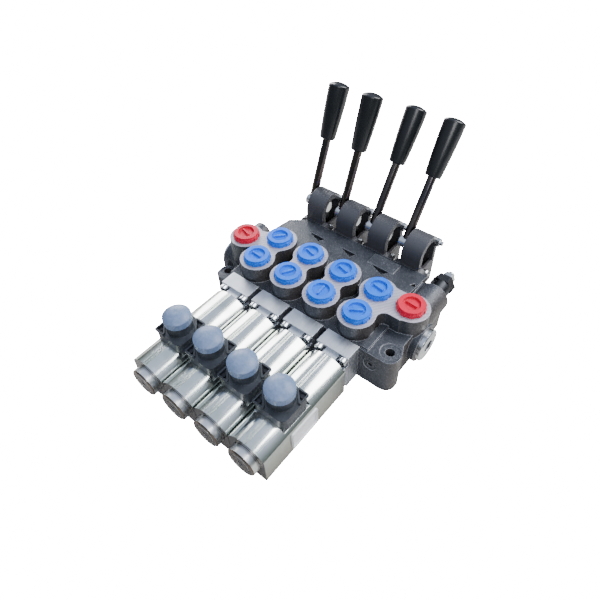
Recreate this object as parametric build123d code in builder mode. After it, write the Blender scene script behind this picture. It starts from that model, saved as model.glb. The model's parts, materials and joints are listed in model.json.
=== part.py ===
from build123d import *
import os
from math import asin, cos, radians, sin, sqrt

os.makedirs("parts", exist_ok=True)

# Four-spool hydraulic control valve in one casting. All sizes are in millimetres.
# X runs along the row of spools, Y from the solenoids at the front to the hand levers
# at the back, and Z up. The origin is on the mounting face, in the middle of the row
# and half-way between the two rows of work ports.

# Row of spools, spaced so that the solenoid housings almost touch
section_count = 4
housing_width = 39.2
housing_gap = 0.8
spool_pitch = housing_width + housing_gap
spool_z = 23.0
spool_d = 16.0
spool_fit = 0.03
spool_stroke = 6.0
section_x = [spool_pitch * (i - (section_count - 1) / 2) for i in range(section_count)]
first_x = section_x[0]
last_x = section_x[-1]

# Casting
shelf_z = 42.5
deck_z = 50.0
deck_slope = 3.0
land_z = 60.0
front_margin = 1.0
rear_depth = 74.0
port_spacing = 35.0
land_r = 17.7
land_web = 19.0
web_blend = 7.5
inlet_web = 32.0
inlet_web_y = 15.0
side_wall = 22.0
rear_corner = 16.0
front_y = -port_spacing / 2 - land_r - front_margin
rear_y = rear_depth
body_left = first_x - side_wall
body_right = last_x + side_wall
port_rows = [-port_spacing / 2, port_spacing / 2]

# Ports and their protective plugs
port_r = 10.5
port_depth = land_z - spool_z
plug_fit = 0.1
plug_head_r = 13.0
plug_skirt = 3.4
plug_shoulder = 0.6
plug_rim = 1.8
plug_rim_r = 12.4
plug_cup_r = 8.2
plug_cup_depth = 2.4
plug_bar = 1.8
plug_stem = 11.0
plug_ribs = 10
plug_rib = 0.6
plug_rib_width = 4.6
plug_turns = [85, -45, -32, 74, 4, 74, -58, 80]
line_plug_turns = [74, 85]

# Inlet at the right and outlet at the left, each over its own gallery
outlet_reach = 32.0
outlet_x = first_x - outlet_reach
outlet_y = 1.0
inlet_reach = 34.8
inlet_x = last_x + inlet_reach
inlet_y = 18.0
gallery_z = 22.5
gallery_boss_r = 19.5
gallery_proud = 1.3
gallery_left_reach = 2.6
gallery_bore_r = 12.0
gallery_depth = 26.0
gallery_left = outlet_x - land_r - gallery_proud - gallery_left_reach
gallery_right = inlet_x + land_r + gallery_proud

# Large plugs that close the galleries
gallery_flange_r = 16.5
gallery_flange = 5.0
gallery_hex = 12.0
gallery_hex_depth = 8.0
gallery_stem = 14.0
gallery_bevel = 1.0

# Relief valve, lying along Y behind the inlet, in a round lobe of the casting
relief_x = inlet_x + 0.7
relief_z = 36.0
relief_lobe_r = 16.0
relief_lobe_edge = 2.0
relief_setback = 8.0
relief_lobe_end = rear_y - relief_setback
relief_bore_r = 7.5
relief_bore_depth = 26.0
relief_neck = 13.0
relief_collar_r = 10.4
relief_hex = 20.5
relief_hex_length = 9.0
relief_nose_r = 7.0
relief_nose = 1.0
locknut_hex = 12.0
locknut = 8.5
adjuster_r = 4.0
adjuster_fit = 0.05
adjuster_reach = 5.5
adjuster_socket = 4.0
adjuster_socket_depth = 5.0
adjuster_depth = 12.0
adjuster_end_gap = 0.5
adjuster_bevel = 1.2
lobe_flank = 12.0

# Lower lobe behind the outlet
left_lobe_x = outlet_x - 9.0
left_lobe_z = 39.0
left_lobe_r = 11.0
left_lobe_end = 35.0

# Fixing lugs with their bolt holes
lug_hole_y = front_y + 13.0
left_hole_x = outlet_x - 11.0
right_hole_x = inlet_x + 6.2
lug_hole_r = 4.3
lug_round = 11.0
left_lug_round = 8.0
left_lug_z = 22.0
lug_corner = 10.5
left_lug_corner = 7.5
waist_x = right_hole_x + 6.0
waist_y = lug_hole_y + 13.0
waist_round = 8.0
ridge_reach = 17.5
ridge_x = last_x + ridge_reach
ridge_width = 7.5
ridge_inset = 1.5
ridge_rise = 2.5
spot_face_r = 9.3
left_spot_face_r = 7.0
spot_face = 0.8

# Solenoid mounting blocks and their cap screws
block_width = 34.6
block_height = 43.0
block_depth = 17.0
block_front = front_y - block_depth
neck = 7.0
neck_drop = 3.5
neck_front = block_front - neck
screw_x = 13.0
screw_z = 16.5
screw_r = 2.5
screw_hole_fit = 0.1
screw_head_r = 4.25
screw_head = 5.0
screw_socket = 4.0
screw_socket_depth = 2.5
screw_grip = 11.0
scallop_r = 6.2
screw_bevel = 0.6

# Solenoid housings, windings and what moves in them
housing_length = 106.0
housing_bottom = 1.5
housing_shoulder_z = 34.0
housing_top_z = 44.0
housing_edge = 3.0
groove_width = 3.6
groove_depth = 0.9
groove_rib = 1.2
housing_back = neck_front
housing_front = housing_back - housing_length
coil_bore_r = 13.9
coil_gap = 0.2
coil_end = 8.0
coil_spacer = 4.0
tube_r = 11.5
tube_bore_r = 9.6
plunger_r = 9.4
plunger_length = 58.0
stem_r = 4.0
stem_gap = 0.4
cap_r = 14.5
cap_length = 8.0
cap_bevel = 1.0
cap_socket = 6.0
cap_socket_depth = 4.0
cap_stem = 10.0
cap_ring_r = 10.0
cap_ring_width = 1.2
cap_ring_depth = 0.6

# Centring spring round the spool's stem, inside the mounting block
spring_r = 8.0
spring_wire_r = 1.1
spring_turns = 3
spring_bore_r = 10.5
spring_seat_gap = 0.2
spool_shoulder_gap = 1.5
spool_groove_r = 5.0
spool_groove = 11.0

# Electrical connectors
connector_y = -122.0
connector_side = 33.0
connector_gap = 0.1
connector_round = 6.0
connector_seat_z = 37.5
connector_top_z = 52.0
corner_rim = 1.6
corner_rim_wall = 1.6
corner_side = 14.0
corner_pocket_depth = 3.0
tower_r = 12.0
tower_taper = 2.0
tower_top_z = 66.0
tower_mouth_r = 9.0
tower_cup_depth = 11.0
pin_count = 4
pin_r = 1.2
pin_spread = 4.5
pin_length = 8.0
dust_cap_r = 13.0
dust_cap_wall = 0.8
dust_cap_skirt_z = 62.5
dust_cap_edge_z = 69.0
dust_cap_top_z = 73.5
dust_cap_roof = 2.0
connector_screw_r = 1.25
connector_head_r = 2.2
connector_head = 1.6
connector_screw_grip = 6.0

# Lever brackets on the rear face
bracket_width = 21.5
bracket_wall = 5.0
tail_side_wall = 3.0
flange_width = 38.6
flange_low = 1.0
flange_high = 47.0
flange_thick = 7.0
flange_round = 9.0
drum_r = 18.0
drum_gap = 1.0
pivot_y = rear_y + drum_r + drum_gap
pivot_z = 58.0
drum_wall = 6.0
window_z = 40.0
bracket_low = 8.0
tail_low = 13.0
tail_gap = 1.5
bracket_screw_x = 15.1
bracket_screw_z = 16.5
bracket_head_r = 4.0
bracket_head = 5.0
lock_screw_angle = 22.0
lock_screw_r = 2.5
lock_screw_hex = 8.0
lock_screw_head = 4.0
lock_screw_tip = 3.0
lock_screw_grip = 8.0

# Scraper rings in the rear flange, round the spool tails
seal_width = 3.0
seal_outer_r = 10.0
seal_fit = 0.05

# Levers
shaft_r = 6.0
shaft_fit = 0.05
shaft_end = 6.4
shaft_inner = 1.5
shaft_bevel = 0.8
arm_thick = 9.0
hub_r = 9.0
arm_fit = 0.02
arm_width = 6.0
ball_r = 4.0
slot_gap = 0.3
tail_r = 7.0
tail_wall = 2.7
tail_floor = 4.4
tail_fit = 0.4
lever_leans = [22.0, 22.0, 31.0, 32.0]
rod_r = 4.5
rod_gap = 5.6
rod_x = -bracket_width / 2 - rod_gap
rod_seat = 4.5
rod_fit = 0.02
knob_start = 69.0
knob_end = 125.5
knob_low_r = 8.3
knob_high_r = 10.9
knob_belly = 0.6
knob_crown = 3.0
knob_round = 1.8
knob_edge = 1.0
knob_grip = 25.0
knob_fit = 0.05
arm_length = pivot_z - spool_z
knob_length = knob_end - knob_start
crown_r = (knob_high_r ** 2 + knob_crown ** 2) / (2 * knob_crown)
crown_angle = asin(knob_high_r / crown_r)
tail_room = pivot_y + ball_r + slot_gap + tail_wall + spool_stroke + tail_gap
lock_screw_y = pivot_y + (drum_r - drum_wall / 2) * cos(radians(lock_screw_angle))
lock_screw_z = pivot_z + (drum_r - drum_wall / 2) * sin(radians(lock_screw_angle))

# Small drilled passage that is closed on the front face, beside the last section
passage_reach = 29.0
passage_x = last_x + passage_reach
passage_z = 27.0
passage_r = 2.5
passage_ring_r = 6.8
passage_ring = 0.6
passage_depth = 9.0

# Recesses and pads cast in the rear deck
pocket_length = 20.0
pocket_width = 8.0
pocket_depth = 5.0
pocket_y = 55.0
pad_length = 30.0
pad_width = 15.0
pad_y = 60.0
pad_rise = 1.6
notch_reach = 18.5
notch_x = last_x + notch_reach
notch_y = 52.0
notch_size = 7.0


def across(y):
    """Plane across the spools at y, facing the front, with local (x, z)."""
    return Plane.XZ.offset(-y)


def along(x):
    """Plane at x that looks along the row of spools, with local (y, z)."""
    return Plane.YZ.offset(x)


def deck_profile():
    """Side view of the rear deck, as points (y, z)."""
    start = port_rows[1]
    return [(start, shelf_z - 2), (start, deck_z + deck_slope), (start + land_r, deck_z + deck_slope),
            (rear_y, deck_z - deck_slope), (rear_y, shelf_z - 2)]


def deck_height(y):
    """Height of the sloping deck at y."""
    start = port_rows[1] + land_r
    return deck_z + deck_slope - 2 * deck_slope * (y - start) / (rear_y - start)


# The casting: lower block, fixing lugs, deck, gallery ends and the port bosses
with BuildPart() as valve_body:
    with BuildSketch():
        with BuildLine():
            Polyline((body_left, front_y), (body_right, front_y), (body_right, rear_y),
                     (body_left + rear_corner, rear_y), (body_left, rear_y - rear_corner), close=True)
        make_face()
    extrude(amount=shelf_z)

    # Sloping deck behind the rear ports
    with BuildSketch(along(body_left)):
        with BuildLine():
            Polyline(*deck_profile(), close=True)
        make_face()
    extrude(amount=body_right - body_left)
    with BuildSketch(Plane.XY.offset(shelf_z - 2)):
        with BuildLine():
            Polyline((body_left - 1, rear_y + 1), (body_left + rear_corner, rear_y + 1),
                     (body_left + rear_corner, rear_y), (body_left, rear_y - rear_corner),
                     (body_left - 1, rear_y - rear_corner), close=True)
        make_face()
    extrude(amount=land_z, mode=Mode.SUBTRACT)

    # Fixing lugs at the two front corners; the right one runs back to the inlet boss
    with BuildSketch():
        with BuildLine():
            Polyline((body_right - 2, front_y), (right_hole_x + lug_round, front_y),
                     (right_hole_x + lug_round, lug_hole_y + 2), (waist_x, waist_y),
                     (waist_x, inlet_y), (body_right - 2, inlet_y), close=True)
        make_face()
        fillet(vertices().sort_by_distance((right_hole_x + lug_round, front_y))[0], lug_corner)
        fillet(vertices().sort_by_distance((waist_x, waist_y))[0], waist_round)
    extrude(amount=shelf_z)
    with BuildSketch():
        with BuildLine():
            Polyline((body_left + 2, front_y), (left_hole_x - left_lug_round, front_y),
                     (left_hole_x - left_lug_round, lug_hole_y + left_lug_round),
                     (body_left + 2, lug_hole_y + left_lug_round), close=True)
        make_face()
        fillet(vertices().group_by(Axis.X)[0], left_lug_corner)
    extrude(amount=left_lug_z)

    # Low ridge on the shelf, between the last front land and the inlet boss
    with BuildSketch(Plane.XY.offset(shelf_z - 2)):
        with Locations((ridge_x, front_y + ridge_inset)):
            Rectangle(ridge_width, inlet_y - front_y, align=Align.MIN)
    extrude(amount=ridge_rise + 2)

    # Gallery ends along X and their port bosses
    with BuildSketch(along(gallery_left)):
        with Locations((outlet_y, gallery_z)):
            Circle(gallery_boss_r)
    extrude(amount=body_left - gallery_left + 2)
    with BuildSketch(along(body_right - 2)):
        with Locations((inlet_y, gallery_z)):
            Circle(gallery_boss_r)
    extrude(amount=gallery_right - body_right + 2)

    # Round lobes along Y, over the relief valve and behind the outlet, and their fillings
    with BuildSketch(across(inlet_y)):
        with Locations((relief_x, relief_z)):
            Circle(relief_lobe_r)
        with Locations((body_right - 2, 0)):
            Rectangle(relief_x - body_right + 2 + lobe_flank, relief_z, align=Align.MIN)
        with Locations((body_right - 2, 0)):
            Rectangle(relief_x - body_right + 2, deck_z - deck_slope, align=Align.MIN)
    extrude(amount=-(relief_lobe_end - relief_lobe_edge - inlet_y))
    with BuildSketch(across(inlet_y)):
        with Locations((relief_x, relief_z)):
            Circle(relief_lobe_r - relief_lobe_edge)
    extrude(amount=-(relief_lobe_end - inlet_y))
    with BuildSketch(across(outlet_y)):
        with Locations((left_lobe_x, left_lobe_z)):
            Circle(left_lobe_r)
        with Locations((body_left + 2, 0)):
            Rectangle(body_left + 2 - left_lobe_x + left_lobe_r, left_lobe_z, align=(Align.MAX, Align.MIN))
    extrude(amount=-(left_lobe_end - outlet_y))

    # Machined port lands: two per spool, joined by a web, and the inlet and outlet lands. The
    # last spool's land also runs across to the inlet
    for x in section_x:
        with BuildSketch(Plane.XY.offset(shelf_z - 2)):
            with Locations((x, port_rows[0]), (x, port_rows[1])):
                Circle(land_r)
            with Locations((x, 0)):
                Rectangle(land_web, port_spacing)
            if x == last_x:
                with Locations((inlet_x, inlet_y)):
                    Circle(land_r)
                with Locations(((last_x + inlet_x) / 2, inlet_web_y)):
                    Rectangle(inlet_reach, inlet_web)
            offset(amount=web_blend, kind=Kind.ARC)
            offset(amount=-web_blend, kind=Kind.ARC)
        extrude(amount=land_z - shelf_z + 2)
    with BuildSketch(Plane.XY.offset(gallery_z)):
        with Locations((outlet_x, outlet_y)):
            Circle(land_r)
    extrude(amount=land_z - gallery_z)
    with BuildSketch(Plane.XY.offset(gallery_z)):
        with Locations((inlet_x, inlet_y)):
            Circle(land_r)
    extrude(amount=land_z - gallery_z)
    with BuildSketch(Plane.XY.offset(shelf_z - 2)):
        with BuildLine():
            Polyline((outlet_x, outlet_y), (first_x, port_rows[0] - land_r / 4),
                     (first_x, port_rows[1] + land_r / 2), (outlet_x, outlet_y + 2 * land_r / 3), close=True)
        make_face()
    extrude(amount=land_z - shelf_z + 2)

    # Pad for a plate and the wedge-shaped recesses between the spools
    pad_x = (section_x[-1] + section_x[-2]) / 2
    with BuildSketch(Plane.XY.offset(deck_z - deck_slope)):
        with Locations((pad_x, pad_y)):
            Rectangle(pad_length, pad_width)
    extrude(amount=deck_height(pad_y) + pad_rise - deck_z + deck_slope)
    for left_x, right_x in zip(section_x[:-1], section_x[1:]):
        middle = (left_x + right_x) / 2
        back = pocket_y if middle != pad_x else pad_y - pad_width / 2
        with BuildSketch(Plane.XY.offset(deck_height(pocket_y) - pocket_depth)):
            with BuildLine():
                Polyline((middle - pocket_length / 2, back), (middle + pocket_length / 2, back),
                         (middle + pocket_length / 3, back - pocket_width), close=True)
            make_face()
        extrude(amount=land_z, mode=Mode.SUBTRACT)
    with BuildSketch(Plane.XY.offset(deck_z - pocket_depth)):
        with Locations((notch_x, notch_y)):
            RegularPolygon(notch_size / 2, 3, rotation=90)
    extrude(amount=land_z, mode=Mode.SUBTRACT)

    # Spool bores from front to back
    with BuildSketch(across(front_y)):
        with Locations([(x, spool_z) for x in section_x]):
            Circle(spool_d / 2 + spool_fit)
    extrude(amount=-(rear_y - front_y), mode=Mode.SUBTRACT)

    # Port bores
    with BuildSketch(Plane.XY.offset(land_z)):
        with Locations([(x, y) for x in section_x for y in port_rows]):
            Circle(port_r)
        with Locations((outlet_x, outlet_y), (inlet_x, inlet_y)):
            Circle(port_r)
    extrude(amount=-port_depth, mode=Mode.SUBTRACT)

    # Gallery bores behind the large end plugs
    with BuildSketch(along(gallery_left)):
        with Locations((outlet_y, gallery_z)):
            Circle(gallery_bore_r)
    extrude(amount=gallery_depth, mode=Mode.SUBTRACT)
    with BuildSketch(along(gallery_right)):
        with Locations((inlet_y, gallery_z)):
            Circle(gallery_bore_r)
    extrude(amount=-gallery_depth, mode=Mode.SUBTRACT)

    # Relief valve cavity
    with BuildSketch(across(relief_lobe_end)):
        with Locations((relief_x, relief_z)):
            Circle(relief_bore_r)
    extrude(amount=relief_bore_depth, mode=Mode.SUBTRACT)

    # Fixing holes with their spot faces
    for hole_x, top, face_r in ((left_hole_x, left_lug_z, left_spot_face_r),
                                (right_hole_x, shelf_z, spot_face_r)):
        with Locations(Plane.XY.offset(top)):
            with Locations((hole_x, lug_hole_y)):
                CounterBoreHole(lug_hole_r, face_r, spot_face, depth=top)

    # Tapped holes for the solenoid blocks and the lever brackets
    with BuildSketch(across(front_y)):
        with Locations([(x + a * screw_x, spool_z + b * screw_z)
                        for x in section_x for a in (-1, 1) for b in (-1, 1)]):
            Circle(screw_r + screw_hole_fit)
    extrude(amount=-(screw_grip + 1), mode=Mode.SUBTRACT)
    with BuildSketch(across(rear_y)):
        with Locations([(x + a * bracket_screw_x, spool_z + a * bracket_screw_z)
                        for x in section_x for a in (-1, 1)]):
            Circle(screw_r + screw_hole_fit)
    extrude(amount=screw_grip + 1, mode=Mode.SUBTRACT)

    # Drilled passage on the front face
    with BuildSketch(across(front_y)):
        with Locations((passage_x, passage_z)):
            Circle(passage_ring_r)
    extrude(amount=-passage_ring, mode=Mode.SUBTRACT)
    with BuildSketch(across(front_y)):
        with Locations((passage_x, passage_z)):
            Circle(passage_r)
    extrude(amount=-passage_depth, mode=Mode.SUBTRACT)
valve_body.part.label = "valve_body"
export_step(valve_body.part, "parts/valve_body.step")


# Plastic port plug with flats round its skirt, a raised rim and a recessed centre with one bar
plug_top = plug_skirt + plug_shoulder + plug_rim
with BuildPart() as port_plug:
    with BuildSketch():
        Circle(plug_head_r)
        with PolarLocations(plug_head_r, plug_ribs):
            Rectangle(2 * plug_rib, plug_rib_width)
    extrude(amount=plug_skirt)
    with BuildSketch(Plane.XY.offset(plug_skirt)):
        Circle(plug_head_r)
    extrude(amount=plug_shoulder)
    with BuildSketch(Plane.XY.offset(plug_skirt + plug_shoulder)):
        Circle(plug_rim_r)
    extrude(amount=plug_rim)
    with BuildSketch(Plane.XY.offset(plug_top)):
        Circle(plug_cup_r)
        Rectangle(plug_bar, 1.4 * plug_cup_r, mode=Mode.SUBTRACT)
    extrude(amount=-plug_cup_depth, mode=Mode.SUBTRACT)
    with BuildSketch():
        Circle(port_r - plug_fit)
    extrude(amount=-plug_stem)

port_spots = [(x, y, land_z) for x in section_x for y in port_rows]
with BuildPart() as work_port_plugs:
    with Locations([Location(spot, (0, 0, turn)) for spot, turn in zip(port_spots, plug_turns)]):
        add(port_plug.part)
work_port_plugs.part.label = "work_port_plugs"
export_step(work_port_plugs.part, "parts/work_port_plugs.step")

line_spots = [(outlet_x, outlet_y, land_z), (inlet_x, inlet_y, land_z)]
with BuildPart() as line_port_plugs:
    with Locations([Location(spot, (0, 0, turn)) for spot, turn in zip(line_spots, line_plug_turns)]):
        add(port_plug.part)
line_port_plugs.part.label = "line_port_plugs"
export_step(line_port_plugs.part, "parts/line_port_plugs.step")

# Large socket plugs that close the ends of the galleries
with BuildPart() as gallery_plugs:
    for side, face_x, y in ((-1, gallery_left, outlet_y), (1, gallery_right, inlet_y)):
        with BuildSketch(along(face_x)):
            with Locations((y, gallery_z)):
                Circle(gallery_flange_r)
        extrude(amount=side * gallery_flange)
        with BuildSketch(along(face_x)):
            with Locations((y, gallery_z)):
                Circle(gallery_bore_r - plug_fit)
        extrude(amount=-side * gallery_stem)
        with BuildSketch(along(face_x + side * gallery_flange)):
            with Locations((y, gallery_z)):
                RegularPolygon(gallery_hex / 2, 6, major_radius=False)
        extrude(amount=-side * gallery_hex_depth, mode=Mode.SUBTRACT)
    rims = gallery_plugs.edges().filter_by(GeomType.CIRCLE)
    chamfer(rims.group_by(Axis.X)[0] + rims.group_by(Axis.X)[-1], gallery_bevel)
gallery_plugs.part.label = "gallery_plugs"
export_step(gallery_plugs.part, "parts/gallery_plugs.step")

# Relief valve: black cartridge, zinc locknut and the adjusting screw that turns in it
relief_neck_y = relief_lobe_end + relief_neck
relief_hex_y = relief_neck_y + relief_hex_length
relief_nose_y = relief_hex_y + relief_nose
locknut_y = relief_nose_y + locknut
with BuildPart() as relief_cartridge:
    with BuildSketch(across(relief_neck_y)):
        with Locations((relief_x, relief_z)):
            Circle(relief_bore_r - plug_fit)
    extrude(amount=relief_neck + relief_bore_depth - 2)
    with BuildSketch(across(relief_neck_y)):
        with Locations((relief_x, relief_z)):
            Circle(relief_collar_r)
    extrude(amount=relief_neck)
    with BuildSketch(across(relief_neck_y)):
        with Locations((relief_x, relief_z)):
            RegularPolygon(relief_hex / 2, 6, major_radius=False)
    extrude(amount=-relief_hex_length)
    with BuildSketch(across(relief_hex_y)):
        with Locations((relief_x, relief_z)):
            Circle(relief_nose_r)
    extrude(amount=-relief_nose)
    with BuildSketch(across(relief_nose_y)):
        with Locations((relief_x, relief_z)):
            Circle(adjuster_r + adjuster_fit)
    extrude(amount=adjuster_depth + adjuster_end_gap, mode=Mode.SUBTRACT)
relief_cartridge.part.label = "relief_cartridge"
export_step(relief_cartridge.part, "parts/relief_cartridge.step")

with BuildPart() as relief_locknut:
    with BuildSketch(across(relief_nose_y)):
        with Locations((relief_x, relief_z)):
            RegularPolygon(locknut_hex / 2, 6, major_radius=False)
            Circle(adjuster_r + adjuster_fit, mode=Mode.SUBTRACT)
    extrude(amount=-locknut)
relief_locknut.part.label = "relief_locknut"
export_step(relief_locknut.part, "parts/relief_locknut.step")

with BuildPart() as relief_adjuster:
    with BuildSketch(across(locknut_y + adjuster_reach)):
        with Locations((relief_x, relief_z)):
            Circle(adjuster_r)
    extrude(amount=adjuster_reach + locknut + adjuster_depth)
    chamfer(relief_adjuster.edges().filter_by(GeomType.CIRCLE).group_by(Axis.Y)[-1], adjuster_bevel)
    with BuildSketch(across(locknut_y + adjuster_reach)):
        with Locations((relief_x, relief_z)):
            RegularPolygon(adjuster_socket / 2, 6, major_radius=False)
    extrude(amount=adjuster_socket_depth, mode=Mode.SUBTRACT)
relief_adjuster.part.label = "relief_adjuster"
export_step(relief_adjuster.part, "parts/relief_adjuster.step")

# Solenoid mounting block: a square flange with a scalloped neck round the screw heads
with BuildPart() as block:
    with BuildSketch(across(front_y)):
        with Locations((0, spool_z)):
            Rectangle(block_width, block_height)
    extrude(amount=block_depth)
    with BuildSketch(across(block_front)):
        with Locations((0, spool_z)):
            Rectangle(block_width, block_height - 2 * neck_drop)
        with Locations([(a * screw_x, spool_z + b * screw_z) for a in (-1, 1) for b in (-1, 1)]):
            Circle(scallop_r, mode=Mode.SUBTRACT)
    extrude(amount=neck)
    with BuildSketch(across(front_y)):
        with Locations((0, spool_z)):
            Circle(spring_bore_r)
    extrude(amount=block_depth, mode=Mode.SUBTRACT)
    with BuildSketch(across(block_front)):
        with Locations((0, spool_z)):
            Circle(stem_r + stem_gap)
    extrude(amount=neck, mode=Mode.SUBTRACT)
    with BuildSketch(across(front_y)):
        with Locations([(a * screw_x, spool_z + b * screw_z) for a in (-1, 1) for b in (-1, 1)]):
            Circle(screw_r + screw_hole_fit)
    extrude(amount=block_depth, mode=Mode.SUBTRACT)

for number, x in enumerate(section_x, start=1):
    with BuildPart() as solenoid_block:
        with Locations((x, 0, 0)):
            add(block.part)
    solenoid_block.part.label = f"solenoid_block_{number}"
    export_step(solenoid_block.part, f"parts/solenoid_block_{number}.step")

# Socket head cap screw whose head sits on the plane y = 0 and whose shank runs to +Y
with BuildPart() as cap_screw:
    with BuildSketch(across(0)):
        Circle(screw_head_r)
    extrude(amount=screw_head)
    chamfer(cap_screw.edges().filter_by(GeomType.CIRCLE).group_by(Axis.Y)[0], screw_bevel)
    with BuildSketch(across(-screw_head)):
        RegularPolygon(screw_socket / 2, 6, major_radius=False)
    extrude(amount=-screw_socket_depth, mode=Mode.SUBTRACT)
    with BuildSketch(across(0)):
        Circle(screw_r)
    extrude(amount=-(block_depth + screw_grip))

with BuildPart() as block_screws:
    with Locations([(x + a * screw_x, block_front, spool_z + b * screw_z)
                    for x in section_x for a in (-1, 1) for b in (-1, 1)]):
        add(cap_screw.part)
block_screws.part.label = "block_screws"
export_step(block_screws.part, "parts/block_screws.step")

# The two screwed corners of each connector lie on one diagonal of its square foot
corner_inset = corner_side * (1 - sqrt(0.5))
corner_spot = connector_side / 2 - corner_inset
connector_screw_spots = [(side * corner_spot, connector_y + side * corner_spot) for side in (-1, 1)]

# Solenoid housing: a long extrusion with an arched top and a shallow groove along it
with BuildPart() as housing:
    with BuildSketch(across(housing_back)):
        with BuildLine():
            Polyline((-housing_width / 2, housing_shoulder_z), (-housing_width / 2, housing_bottom),
                     (housing_width / 2, housing_bottom), (housing_width / 2, housing_shoulder_z))
            ThreePointArc((housing_width / 2, housing_shoulder_z), (0, housing_top_z),
                          (-housing_width / 2, housing_shoulder_z))
        make_face()
        fillet(vertices(), housing_edge)
        with Locations([(a * (groove_width + groove_rib) / 4, housing_top_z) for a in (-1, 1)]):
            Rectangle((groove_width - groove_rib) / 2, 2 * groove_depth, mode=Mode.SUBTRACT)
    extrude(amount=housing_length)
    with BuildSketch(across(housing_back)):
        with Locations((0, spool_z)):
            Circle(coil_bore_r)
    extrude(amount=housing_length - coil_end, mode=Mode.SUBTRACT)
    with BuildSketch(across(housing_front)):
        with Locations((0, spool_z)):
            Circle(tube_r + coil_gap)
    extrude(amount=-coil_end, mode=Mode.SUBTRACT)
    with BuildSketch(Plane.XY.offset(connector_seat_z)):
        with Locations((0, connector_y)):
            Rectangle(connector_side + 2 * connector_gap, connector_side + 2 * connector_gap)
    extrude(amount=land_z, mode=Mode.SUBTRACT)
    with BuildSketch(Plane.XY.offset(connector_seat_z)):
        with Locations(connector_screw_spots):
            Circle(connector_screw_r + screw_hole_fit)
    extrude(amount=-(connector_screw_grip + 0.5), mode=Mode.SUBTRACT)

for number, x in enumerate(section_x, start=1):
    with BuildPart() as solenoid_housing:
        with Locations((x, 0, 0)):
            add(housing.part)
    solenoid_housing.part.label = f"solenoid_housing_{number}"
    export_step(solenoid_housing.part, f"parts/solenoid_housing_{number}.step")

# Two windings in each housing, with a spacer between them
winding_length = (housing_length - coil_end - coil_spacer) / 2 - coil_gap
with BuildPart() as windings:
    for back in (housing_back - coil_gap, housing_back - coil_gap - winding_length - coil_spacer):
        with BuildSketch(across(back)):
            with Locations((0, spool_z)):
                Circle(coil_bore_r - coil_gap)
                Circle(tube_r + coil_gap, mode=Mode.SUBTRACT)
        extrude(amount=winding_length)

with BuildPart() as coil_windings:
    with Locations([(x, 0, 0) for x in section_x]):
        add(windings.part)
coil_windings.part.label = "coil_windings"
export_step(coil_windings.part, "parts/coil_windings.step")

# Core tube that carries the windings and guides the plunger
with BuildPart() as tube:
    with BuildSketch(across(housing_back)):
        with Locations((0, spool_z)):
            Circle(tube_r)
            Circle(tube_bore_r, mode=Mode.SUBTRACT)
    extrude(amount=housing_length)

with BuildPart() as core_tubes:
    with Locations([(x, 0, 0) for x in section_x]):
        add(tube.part)
core_tubes.part.label = "core_tubes"
export_step(core_tubes.part, "parts/core_tubes.step")

# Round end cap that screws into the core tube
with BuildPart() as cap:
    with BuildSketch(across(housing_front)):
        with Locations((0, spool_z)):
            Circle(cap_r)
    extrude(amount=cap_length)
    chamfer(cap.edges().filter_by(GeomType.CIRCLE).group_by(Axis.Y)[0], cap_bevel)
    with BuildSketch(across(housing_front - cap_length)):
        with Locations((0, spool_z)):
            Circle(cap_ring_r)
            Circle(cap_ring_r - cap_ring_width, mode=Mode.SUBTRACT)
    extrude(amount=-cap_ring_depth, mode=Mode.SUBTRACT)
    with BuildSketch(across(housing_front - cap_length)):
        with Locations((0, spool_z)):
            RegularPolygon(cap_socket / 2, 6, major_radius=False)
    extrude(amount=-cap_socket_depth, mode=Mode.SUBTRACT)
    with BuildSketch(across(housing_front)):
        with Locations((0, spool_z)):
            Circle(tube_bore_r - coil_gap / 2)
    extrude(amount=-cap_stem)

with BuildPart() as end_caps:
    with Locations([(x, 0, 0) for x in section_x]):
        add(cap.part)
end_caps.part.label = "end_caps"
export_step(end_caps.part, "parts/end_caps.step")

# Electrical connector: a square foot with two screwed corners and a round tower
def corner_triangle(side):
    """Outline of the raised rim in one corner of the connector's foot."""
    edge = side * connector_side / 2
    reach = side * (connector_side / 2 - corner_side)
    return [(edge, connector_y + edge), (edge, connector_y + reach), (reach, connector_y + edge)]


with BuildPart() as plug_base:
    with BuildSketch(Plane.XY.offset(connector_seat_z)):
        with Locations((0, connector_y)):
            RectangleRounded(connector_side, connector_side, connector_round)
    extrude(amount=connector_top_z - connector_seat_z)
    for side in (-1, 1):
        with BuildSketch(Plane.XY.offset(connector_top_z)):
            with BuildLine():
                Polyline(*corner_triangle(side), close=True)
            make_face()
            fillet(vertices(), corner_rim_wall)
        extrude(amount=corner_rim)
    with BuildSketch(Plane.XY.offset(connector_top_z)):
        with Locations((0, connector_y)):
            Circle(tower_r)
    extrude(amount=tower_top_z - connector_top_z, taper=tower_taper)
    for side in (-1, 1):
        with BuildSketch(Plane.XY.offset(connector_top_z + corner_rim)):
            with BuildLine():
                Polyline(*corner_triangle(side), close=True)
            make_face()
            offset(amount=-corner_rim_wall)
        extrude(amount=-corner_pocket_depth, mode=Mode.SUBTRACT)
    with BuildSketch(Plane.XY.offset(tower_top_z)):
        with Locations((0, connector_y)):
            Circle(tower_mouth_r)
    extrude(amount=-tower_cup_depth, mode=Mode.SUBTRACT)
    with BuildSketch(Plane.XY.offset(tower_top_z - tower_cup_depth)):
        with Locations((0, connector_y)):
            with PolarLocations(pin_spread, pin_count):
                Circle(pin_r)
    extrude(amount=pin_length)
    with BuildSketch(Plane.XY.offset(connector_seat_z)):
        with Locations(connector_screw_spots):
            Circle(connector_screw_r + screw_hole_fit)
    extrude(amount=land_z - connector_seat_z, mode=Mode.SUBTRACT)

for number, x in enumerate(section_x, start=1):
    with BuildPart() as connector:
        with Locations((x, 0, 0)):
            add(plug_base.part)
    connector.part.label = f"connector_{number}"
    export_step(connector.part, f"parts/connector_{number}.step")

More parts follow.
